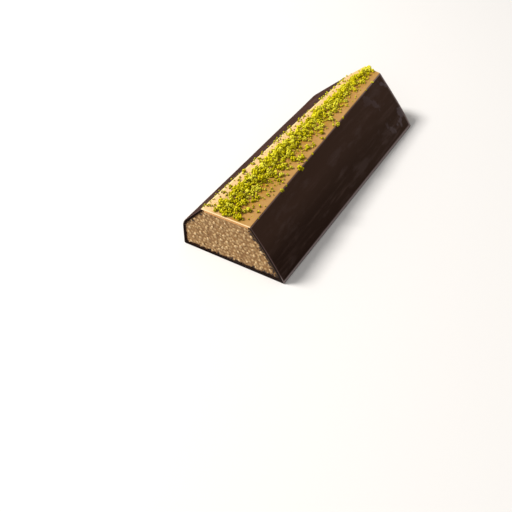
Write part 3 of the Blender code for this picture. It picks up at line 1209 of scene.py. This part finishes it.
def grid_patch(built, layer, across_steps, along_steps, place):
    """Adds a grid: place(across, along) gives each point and its cover."""
    rows = []
    for i in range(along_steps + 1):
        rows.append([])
        for j in range(across_steps + 1):
            point, cover = place(2 * j / across_steps - 1, i / along_steps)
            vertex = built.verts.new(point)
            vertex[layer] = min(max(cover, 0.0), 1.0)
            rows[-1].append(vertex)
    for near, far in zip(rows, rows[1:]):
        for j in range(across_steps):
            built.faces.new((near[j], near[j + 1], far[j + 1], far[j]))


def on_top(lift, left_reach, right_reach, soften, left_floor=0.0, floor=0.0):
    """A patch on the top strip, lift above it. The reaches say how far from the band's middle the
    cover fades out, sharply at the left and slowly at the right, and the floors are its least."""

    def place(across, along):
        y = CUT_Y
        for _ in range(3):
            left, right = top_edges(y)
            x = 0.5 * (left + right + across * (right - left - 2 * MARGIN - SIDE_ROOM))
            y = CUT_Y + FRONT_MARGIN + (far_end_y(x) - CUT_Y - FRONT_MARGIN - MARGIN) * along
        point = Vector((x, y, HEIGHT + lift))
        on_left = across < BAND_MIDDLE
        widths = LEFT_WIDTHS if on_left else RIGHT_WIDTHS
        reach = (left_reach if on_left else right_reach) * np.interp(along, BAND_SHARES, widths)
        away = abs(across - BAND_MIDDLE) / reach + RAGGEDNESS * noise.noise(point / RAGGED_LENGTH)
        covered = (1 - away) / (soften if on_left else 2.2 * soften)
        return point, max(covered, left_floor if on_left else floor)

    return 24, 150, place


def over_left_rim(cover):
    """A patch from just inside the left rim out onto the start of the flank."""

    def place(across, along):
        y = CUT_Y + FRONT_MARGIN + (LENGTH - 12 * MM) * along
        left, _ = top_edges(y)
        low_x, low_z = shoulder_at(LEFT_SHOULDER, y)
        if across < 0:
            return Vector((left - across * 1.2 * MM, y, HEIGHT)), cover
        fall = (low_z - RIM_HEIGHT) / (low_x - abs(left))
        out_by = across * 0.9 * MM
        return Vector((left - out_by, y, RIM_HEIGHT + fall * out_by)), cover * (1 - across)

    return 4, 100, place


def rim_spots(shares, half_length):
    """A small patch on the right rim at each share of the bar's length."""

    def spot(share):
        def place(across, along):
            y = CUT_Y + LENGTH * share + (2 * along - 1) * half_length
            return Vector((half_top(y) + across * 0.4 * MM, y, RIM_HEIGHT + 0.05 * MM)), 1.0

        return 1, 1, place

    return [spot(share) for share in shares]


def bed(name, *patches):
    """A bed of patches, each given as (across steps, along steps, place)."""
    built, layer = started("cover")
    for patch in patches:
        grid_patch(built, layer, *patch)
    turned_to(built, Vector((0, 0, 1)))
    return added(name, plain_mesh(name, built))


print("the band keeps", -BAND_MIDDLE, "of half the strip left of its middle")

# %% [markdown]
# ## Sprinkling the nuts
#
# The nubby chips go down first, in a layer that touches and a narrower one heaped on it. Plain bits
# fill what is left, spill over the band's sides and lie along the rims, and dust goes nearly
# everywhere.

# %% Sprinkle chips, bits and dust
LARGE_RIM_STRAYS = (0.20, 0.31, 0.59)
SMALL_RIM_STRAYS = (0.05, 0.22, 0.36, 0.40, 0.50, 0.64, 0.84, 0.90)
chip_bed = bed(
    "chip_bed",
    on_top(0.0, 0.56, 1.08, 0.3, 0.11, 0.01),
    on_top(1.7 * MM, 0.44, 0.50, 0.5),
    *rim_spots(LARGE_RIM_STRAYS, 1.2 * MM),
)
chips = sprinkled(
    "pistachio_chips",
    chip_bed,
    NUBBY_CHIPS,
    PISTACHIO_FINISH,
    Spacing=2.1 * MM,
    Density=900000.0,
    Smallest=0.95 * MM,
    Largest=2.05 * MM,
    Stray=0.62,
    Sit=0.42,
    Seed=3,
)
bit_bed = bed(
    "bit_bed",
    on_top(0.1 * MM, 0.62, 1.42, 0.6, 0.28, 0.03),
    on_top(2.0 * MM, 0.44, 0.50, 1.6),
    over_left_rim(0.6),
    *rim_spots(SMALL_RIM_STRAYS, 0.8 * MM),
)
bits = sprinkled(
    "pistachio_bits",
    bit_bed,
    PLAIN_CHIPS,
    PISTACHIO_FINISH,
    Spacing=1.0 * MM,
    Density=1000000.0,
    Smallest=0.42 * MM,
    Largest=0.92 * MM,
    Sit=0.5,
    Seed=21,
)
dust = sprinkled(
    "pistachio_dust",
    bed("dust_bed", on_top(0.0, 0.8, 1.25, 0.5, 0.06, 0.04), over_left_rim(0.3)),
    PLAIN_CHIPS,
    DUST_FINISH,
    Spacing=0.6 * MM,
    Density=1400000.0,
    Smallest=0.14 * MM,
    Largest=0.36 * MM,
    Sit=0.4,
    Seed=34,
)

# %% [markdown]
# ## Loose sesame on the cut faces
#
# The bed of grains is relief, but some sesame stands proud of it, paler than the rest. These are
# real seeds: flat drops, each laid into the face with a turn of its own and sunk by about a third.

# %% Sprinkle sesame
SEEDS_KEEP_IN = 1.7 * MM
SEED_BED_LIFT = 0.02 * MM


def sesame_seed(number):
    """A seed of about unit half length on 35 faces: flat, blunt at one end and narrow at the other."""
    draw = random.Random(600 + number)
    built = bmesh.new()
    made = bmesh.ops.create_uvsphere(built, u_segments=7, v_segments=5, radius=1.0)["verts"]
    width, thickness = draw.uniform(0.76, 0.94), draw.uniform(0.34, 0.42)
    for vertex in made:
        x, y, z = vertex.co.z, vertex.co.x, vertex.co.y
        narrowing = 1.0 - 0.28 * max(x, 0.0) ** 2
        vertex.co = Vector((x, y * width * narrowing, z * thickness * narrowing))
    return model_mesh(f"sesame_seed_{number}", built)


def face_bed(outline_points, cut_at, outward):
    """A flat bed just outside a cut face and well inside its outline, with even cover."""
    built, layer = started("cover")
    inner = drawn_in(outline_points, [SEEDS_KEEP_IN] * len(outline_points))
    joined = geometry.delaunay_2d_cdt(inner, [], [list(range(len(inner)))], 1, 1e-9)
    lift = outward * SEED_BED_LIFT
    verts = [built.verts.new((p.x, cut_at(p.x) + lift, p.y)) for p in joined[0]]
    for vertex in verts:
        vertex[layer] = 1.0
    for face in joined[2]:
        built.faces.new([verts[i] for i in face])
    turned_to(built, Vector((0, outward, 0)))
    return built


def sesame_bed():
    near_part = face_bed(halva_outline(CUT_Y), lambda x: CUT_Y, -1)
    far_part = face_bed(far_ring(halva_outline)[0], far_end_y, 1)
    near_part.from_mesh(plain_mesh("far_bed", far_part))
    return added("sesame_bed", plain_mesh("sesame_bed", near_part))


sesame = sprinkled(
    "sesame_seeds",
    sesame_bed(),
    [sesame_seed(number) for number in range(5)],
    SESAME_FINISH,
    Spacing=3.0 * MM,
    Density=260000.0,
    Smallest=0.72 * MM,
    Largest=0.98 * MM,
    Tumble=0.22,
    Sit=-0.08,
    Seed=45,
)

# %% [markdown]
# ## Riding and replacing
#
# Nothing on the bar moves by itself, so every piece rides on the one body. The dressed pieces stand
# for the plain solids, which stay behind for their weight and their touch.

# %% Attach each dressed piece to the body and hide the solid it stands for
for piece, node, slot in (
    (coat, "chocolate_coat", "dark_chocolate"),
    (halva, "halva", "halva"),
    (sesame, "halva", "halva"),
    (tan_top, "pistachio_top", "tan_top"),
    (chips, "pistachio_top", "pistachio"),
    (bits, "pistachio_top", "pistachio"),
    (dust, "pistachio_top", "pistachio"),
):
    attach(piece, "root")
    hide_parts(node)
    print(piece.name, "stands for", node)

# %% [markdown]
# ## Floor and light
#
# The bar lies on a pale floor. A large soft light from the left lifts the left flank and the nuts,
# and leaves the right flank dark. A weak wide one in front opens up the cut face.

# %% Floor and lights
HALF_FLOOR = 3.0
BAR_MIDDLE = Vector((0, 0, 0.015))
floor_corners = [(x * HALF_FLOOR, y * HALF_FLOOR, 0) for x, y in ((-1, -1), (1, -1), (1, 1), (-1, 1))]
floor_mesh = bpy.data.meshes.new("floor")
floor_mesh.from_pydata(floor_corners, [], [(0, 1, 2, 3)])
floor = added("floor", floor_mesh)
floor_finish, _, floor_shader, _ = new_finish("floor")
floor_shader.inputs["Base Color"].default_value = (0.86, 0.85, 0.84, 1.0)
floor_shader.inputs["Roughness"].default_value = 0.8
floor_mesh.materials.append(floor_finish)


def area_light(name, place, size, power, colour):
    data = bpy.data.lights.new(name, "AREA")
    data.shape = "SQUARE"
    data.size = size
    data.energy = power
    data.color = colour
    light = added(name, data)
    light.location = place
    light.rotation_euler = (BAR_MIDDLE - Vector(place)).to_track_quat("-Z", "Y").to_euler()


area_light("key", (-0.95, -0.30, 1.15), 0.32, 26.0, (1.0, 0.97, 0.93))
area_light("front_fill", (0.30, -1.30, 0.70), 1.00, 2.4, (1.0, 0.98, 0.95))
world = bpy.data.worlds.new("studio")
world.use_nodes = True
backdrop = world.node_tree.nodes["Background"]
backdrop.inputs["Color"].default_value = (1.0, 0.98, 0.96, 1.0)
backdrop.inputs["Strength"].default_value = 0.36
bpy.context.scene.world = world
bpy.context.scene.view_settings.view_transform = "Standard"
print("a floor of", 2 * HALF_FLOOR, "m, two lights and a pale studio")

# %% [markdown]
# ## Camera
#
# The camera looks down at the cut corner, turned a little about its own axis, as the photo was taken.
# Its place and turns were fitted to the bar's corners in the photo.

# %% Camera
CAMERA_PLACE = (0.1435, -0.23535, 0.2181)
PITCH, YAW, ROLL = math.radians(45.03), math.radians(-38.56), math.radians(-7.33)
FOCAL_PIXELS, FRAME_PIXELS, SENSOR = 629.0, 512, 36.0
camera_data = bpy.data.cameras.new("camera")
camera_data.sensor_width = SENSOR
camera_data.lens = FOCAL_PIXELS / FRAME_PIXELS * SENSOR
camera_data.clip_start = 0.01
camera = added("camera", camera_data)
turns = ((-YAW, "Z"), (math.pi / 2 - PITCH, "X"), (ROLL, "Z"))
camera.matrix_world = Matrix.Translation(CAMERA_PLACE)
for angle, axis in turns:
    camera.matrix_world = camera.matrix_world @ Matrix.Rotation(angle, 4, axis)
bpy.context.scene.camera = camera
print("the lens is", round(camera_data.lens, 1), "mm")
